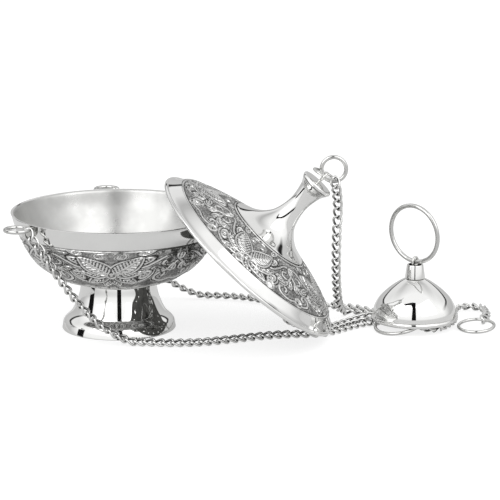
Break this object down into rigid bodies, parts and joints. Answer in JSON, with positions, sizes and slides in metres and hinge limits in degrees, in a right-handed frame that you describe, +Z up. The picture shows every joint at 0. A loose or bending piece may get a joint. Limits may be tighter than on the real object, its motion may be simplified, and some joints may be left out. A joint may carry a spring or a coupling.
{
  "type": "thurible",
  "caption": "Small metal thurible laid out on a table: footed bowl, domed lid leaning on it, cap with a ring handle, and the linked chains between them.",
  "frame": {"origin": "middle of the box round everything but the chains, on the table", "axes": "+Z up; +X from the bowl towards the cap; +Y away from the picture's camera"},
  "size_m": [0.2732, 0.1598, 0.1019],
  "materials": {
    "polished": "bright polished plating",
    "satin": "satin metal",
    "chain": "bright curb links"
  },
  "bodies": {
    "layout": {"bowl_shell": "polished", "foot": "polished", "foot_bolt": "satin", "foot_washer": "satin", "foot_nut": "satin", "ear_lug_back": "satin", "ear_lug_left": "satin", "ear_lug_right": "satin", "ear_ring_back": "polished", "ear_ring_left": "polished", "ear_ring_right": "polished", "chain_left": "chain", "chain_back": "chain", "chain_right": "chain", "lid_chain_upper": "chain", "lid_chain_lower": "chain"},
    "lid": {"lid_dome": "polished", "lid_neck": "polished", "lid_top_plate": "polished", "lid_eye": "satin"},
    "jump_ring": {"lid_jump_ring": "polished"},
    "upright_ring": {"lid_ring": "polished"},
    "cap": {"cap_dome": "polished", "cap_hook": "satin", "gathering_ring": "polished"},
    "collar": {"cap_collar": "satin", "cap_eye_bolt": "satin"},
    "handle": {"handle_ring": "polished"},
    "lift": {"lift_ring": "polished"}
  },
  "joints": [
    {"name": "lid_tip", "type": "hinge", "parent": "layout", "child": "lid", "pos_m": [0.04248, -0.02168, 0.0037], "axis": [0.0811, 0.9967, 0], "range_deg": [0, 15], "deforming": ["lid_chain_upper"]},
    {"name": "jump_ring_swing", "type": "hinge", "parent": "lid", "child": "jump_ring", "pos_m": [0.03904, -0.02141, 0.09202], "axis": [0.8878, 0, -0.4602], "range_deg": [-9, 12]},
    {"name": "upright_ring_swing", "type": "hinge", "parent": "jump_ring", "child": "upright_ring", "pos_m": [0.04377, -0.01156, 0.08957], "axis": [-0.5114, 0.8174, 0.2651], "range_deg": [-8, 12]},
    {"name": "cap_tip", "type": "hinge", "parent": "layout", "child": "cap", "pos_m": [0.07212, -0.01383, 0], "axis": [0.7071, -0.7071, 0], "range_deg": [0, 12]},
    {"name": "collar_swivel", "type": "hinge", "parent": "cap", "child": "collar", "pos_m": [0.09118, 0.00523, 0.03], "axis": [0, 0, 1], "continuous": true},
    {"name": "handle_swing", "type": "hinge", "parent": "collar", "child": "handle", "pos_m": [0.09118, 0.00523, 0.03775], "axis": [0.766, -0.6428, 0], "range_deg": [-25, 25]},
    {"name": "lift_ring_flip", "type": "hinge", "parent": "layout", "child": "lift", "pos_m": [0.12988, 0.00763, 0.00334], "axis": [-0.9063, 0.4226, 0], "range_deg": [0, 70]}
  ]
}
